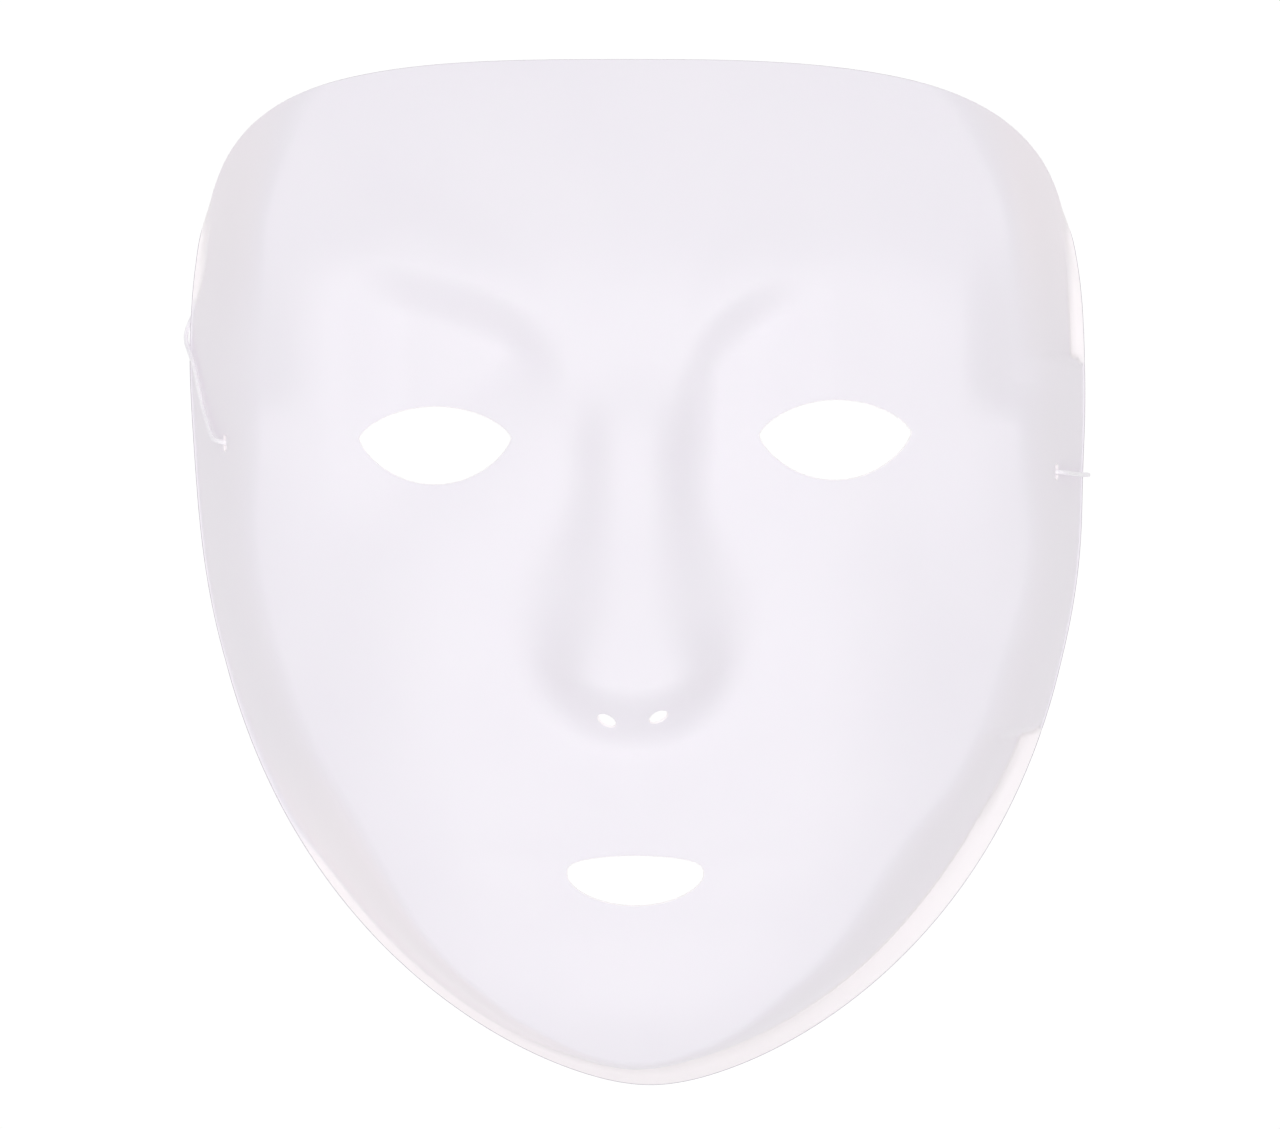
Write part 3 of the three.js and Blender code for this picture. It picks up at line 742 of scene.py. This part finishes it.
def formed_sheet():
    """Satin white sheet, with painted glow on its walls and flat lip, white openings' edges, and painted
    shade on its trimmed edge.
    """
    material, tree, output = new_material("white_thermoformed_pvc")
    where = add_node(tree, "ShaderNodeTexCoord").outputs["Object"]
    clouds = add_node(tree, "ShaderNodeTexNoise", Vector=where, Scale=1 / (CLOUD_SIZE * MM), Detail=2.0)
    peel = add_node(tree, "ShaderNodeTexNoise", Vector=where, Scale=1 / (PEEL_SIZE * MM), Detail=1.0)
    edge = add_node(tree, "ShaderNodeAttribute", {"attribute_name": "cut_edge"}).outputs["Fac"]
    sheet = add_node(tree, "ShaderNodeMix", {"data_type": "RGBA"}, Factor=clouds.outputs["Fac"],
                     i6=colour("#f1edf4"), i7=colour("#f5f1f7"))
    # painted glow: the steep walls are tinted lighter and pinker, for the table's light through the sheet
    thin = add_node(tree, "ShaderNodeAttribute", {"attribute_name": "painted_wall_glow"}).outputs["Fac"]
    wall = add_node(tree, "ShaderNodeMix", {"data_type": "RGBA"}, Factor=thin,
                    i6=sheet.outputs[2], i7=colour("#fdf5fa"))
    # painted glow: the flat lip is tinted whiter, and the cut edges with it
    lip = add_node(tree, "ShaderNodeAttribute", {"attribute_name": "painted_lip_glow_and_edge_white"}).outputs["Fac"]
    moulded = add_node(tree, "ShaderNodeMix", {"data_type": "RGBA"}, Factor=lip,
                       i6=wall.outputs[2], i7=colour("#fffafb"))
    # painted shade: the trimmed outline's edge is tinted grey, for the edge's dark line against the table
    trimmed = add_node(tree, "ShaderNodeMapRange", Value=edge, From_Min=OPENING_EDGE, From_Max=TRIMMED_EDGE)
    tint = add_node(tree, "ShaderNodeMix", {"data_type": "RGBA"}, Factor=trimmed.outputs[0],
                    i6=moulded.outputs[2], i7=colour("#c2bdc5"))
    satin = add_node(tree, "ShaderNodeMapRange", Value=clouds.outputs["Fac"], To_Min=0.54, To_Max=0.62)
    rough = add_node(tree, "ShaderNodeMix", Factor=edge, i2=satin.outputs[0], i3=0.7)
    bump = add_node(tree, "ShaderNodeBump", Strength=0.12, Distance=0.05 * MM, Height=peel.outputs["Fac"])
    shader = add_node(tree, "ShaderNodeBsdfPrincipled", Base_Color=tint.outputs[2],
                      Roughness=rough.outputs[0], IOR=1.54, Normal=bump.outputs[0], Subsurface_Weight=0.15,
                      Subsurface_Radius=(1.0, 0.9, 1.0), Subsurface_Scale=1.2 * MM)
    tree.links.new(shader.outputs[0], output.inputs[0])
    return material


shell.data.materials.append(formed_sheet())
print("shell material:", shell.data.materials[0].name)

# %% [markdown]
# The elastic is rubber with a braided polyester sleeve: bright, dull, and faintly ribbed by its threads.
# A cord so thin lets light through, which fills its shaded side. The bars at its ends are moulded
# polyethylene, which is a little greyer and waxy.

# %% Braided elastic and moulded polyethylene
THREAD_SIZE = 0.3  # mm between the threads of the sleeve
MOULD_GRAIN = 0.5  # mm between the fine pits of the moulded bars


def braided_elastic():
    """Dull bright threads that let light through."""
    material, tree, output = new_material("white_braided_elastic")
    where = add_node(tree, "ShaderNodeTexCoord").outputs["Object"]
    threads = add_node(tree, "ShaderNodeTexVoronoi", Vector=where, Scale=1 / (THREAD_SIZE * MM))
    tint = add_node(tree, "ShaderNodeMix", {"data_type": "RGBA"}, Factor=threads.outputs["Distance"],
                    i6=colour("#fffaff"), i7=colour("#f1ecf4"))
    bump = add_node(tree, "ShaderNodeBump", {"invert": True}, Strength=0.35, Distance=0.08 * MM,
                    Height=threads.outputs["Distance"])
    shader = add_node(tree, "ShaderNodeBsdfPrincipled", Base_Color=tint.outputs[2], Roughness=0.85,
                      IOR=1.5, Sheen_Weight=0.2, Normal=bump.outputs[0], Subsurface_Weight=0.7,
                      Subsurface_Radius=(1.0, 1.0, 1.0), Subsurface_Scale=0.6 * MM)
    tree.links.new(shader.outputs[0], output.inputs[0])
    return material


def moulded_polyethylene():
    """Waxy greyish white with a fine grain."""
    material, tree, output = new_material("white_moulded_polyethylene")
    where = add_node(tree, "ShaderNodeTexCoord").outputs["Object"]
    grain = add_node(tree, "ShaderNodeTexNoise", Vector=where, Scale=1 / (MOULD_GRAIN * MM), Detail=2.0)
    tint = add_node(tree, "ShaderNodeMix", {"data_type": "RGBA"}, Factor=grain.outputs["Fac"],
                    i6=colour("#eceaee"), i7=colour("#f6f4f7"))
    bump = add_node(tree, "ShaderNodeBump", Strength=0.2, Distance=0.04 * MM, Height=grain.outputs["Fac"])
    shader = add_node(tree, "ShaderNodeBsdfPrincipled", Base_Color=tint.outputs[2], Roughness=0.48,
                      IOR=1.51, Normal=bump.outputs[0], Subsurface_Weight=0.1,
                      Subsurface_Radius=(1.0, 1.0, 1.0), Subsurface_Scale=0.5 * MM)
    tree.links.new(shader.outputs[0], output.inputs[0])
    return material


cord.data.materials.append(braided_elastic())
bar_material = moulded_polyethylene()
for bar in bars.values():
    bar.data.materials.append(bar_material)
print("small parts:", cord.data.materials[0].name, "and", bar_material.name)

# %% [markdown]
# The picture is high key: the table is lit until it is plain white, and the mask stands out from it only
# by soft shading. So the table glows by itself, as a light table does, and it is brightest where the mask
# lies. A long strip light hangs above the camera, along the mask: chin and forehead face it as much as the
# cheeks do, while the steep side walls, which it only grazes, turn greyer. A white tent fills the rest. It
# is a little brighter towards its top, and on the side beyond the chin, where it is open to the room.

# %% Table and light
TABLE_SIZE = 4.0  # in metres, as are the lengths that follow
GLOW_RADIUS = (0.17, 0.45)  # where the glow is full, and where it has faded
GLOW = (1.02, 0.6)  # its strength there
STRIP_HEIGHT = 1.5
STRIP_SIZE = (0.7, 2.2)  # across the mask, and along it
STRIP_WATTS = 11.0
TENT = {"foot": 0.54, "top": 0.62, "bright_side": 0.08}
BRIGHT_SIDE = (-0.4, -0.9, 0.15)  # direction beyond the chin, a little to the left
WHITE = (1.0, 1.0, 1.0, 1.0)
TENT_WHITE = (0.985, 0.985, 1.0, 1.0)


def glowing_table():
    """The table, whose glow fades with the distance from its middle."""
    data = bpy.data.meshes.new("white_table")
    half = TABLE_SIZE / 2
    corners = [(-half, -half, 0), (half, -half, 0), (half, half, 0), (-half, half, 0)]
    data.from_pydata(corners, [], [(0, 1, 2, 3)])
    table = bpy.data.objects.new("white_table", data)
    bpy.context.scene.collection.objects.link(table)
    material, tree, output = new_material("white_light_table")
    where = add_node(tree, "ShaderNodeTexCoord").outputs["Object"]
    radius = add_node(tree, "ShaderNodeVectorMath", {"operation": "LENGTH"}, i0=where).outputs["Value"]
    glow = add_node(tree, "ShaderNodeMapRange", {"interpolation_type": "SMOOTHSTEP"}, Value=radius,
                    From_Min=GLOW_RADIUS[0], From_Max=GLOW_RADIUS[1], To_Min=GLOW[0], To_Max=GLOW[1])
    lit = add_node(tree, "ShaderNodeEmission", Color=WHITE, Strength=glow.outputs[0])
    tree.links.new(lit.outputs[0], output.inputs[0])
    data.materials.append(material)
    return table


def light_tent():
    """Sky of the tent: brighter towards its top and towards its bright side."""
    world = bpy.data.worlds.new("light_tent")
    world.use_nodes = True
    tree = world.node_tree
    tree.nodes.clear()
    output = tree.nodes.new("ShaderNodeOutputWorld")
    direction = add_node(tree, "ShaderNodeTexCoord").outputs["Generated"]
    parts = add_node(tree, "ShaderNodeSeparateXYZ", Vector=direction)
    rise = add_node(tree, "ShaderNodeMapRange", Value=parts.outputs["Z"], From_Min=0.0, From_Max=1.0,
                    To_Min=TENT["foot"], To_Max=TENT["top"])
    facing = add_node(tree, "ShaderNodeVectorMath", {"operation": "DOT_PRODUCT"},
                      i0=direction, i1=BRIGHT_SIDE)
    extra = add_node(tree, "ShaderNodeMapRange", Value=facing.outputs["Value"], To_Max=TENT["bright_side"])
    both = add_node(tree, "ShaderNodeMath", {"operation": "ADD"}, i0=rise.outputs[0], i1=extra.outputs[0])
    sky = add_node(tree, "ShaderNodeBackground", Color=TENT_WHITE, Strength=both.outputs[0])
    tree.links.new(sky.outputs[0], output.inputs[0])
    return world


def strip_light():
    """The long light over the mask, facing down."""
    data = bpy.data.lights.new("strip_light", "AREA")
    data.shape = "RECTANGLE"
    data.size, data.size_y = STRIP_SIZE
    data.energy = STRIP_WATTS
    lamp = bpy.data.objects.new("strip_light", data)
    lamp.location = (0, 0, STRIP_HEIGHT)
    bpy.context.scene.collection.objects.link(lamp)
    return lamp


table = glowing_table()
bpy.context.scene.world = light_tent()
lamp = strip_light()
bpy.context.scene.view_settings.view_transform = "Standard"
print("table", TABLE_SIZE, "m wide;", lamp.name, "of", STRIP_WATTS, "W hangs", STRIP_HEIGHT, "m above it")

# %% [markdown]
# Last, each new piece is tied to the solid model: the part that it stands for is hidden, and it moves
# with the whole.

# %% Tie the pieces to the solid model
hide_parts("mask_shell")
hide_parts("elastic_cord")
for side, bar in bars.items():
    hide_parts(f"end_bar_{side}")
for piece in (shell, cord, *bars.values()):
    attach(piece, "root")

cord_exit = place([*SLITS["left"], slit_frame(SLITS["left"])[0][2]])
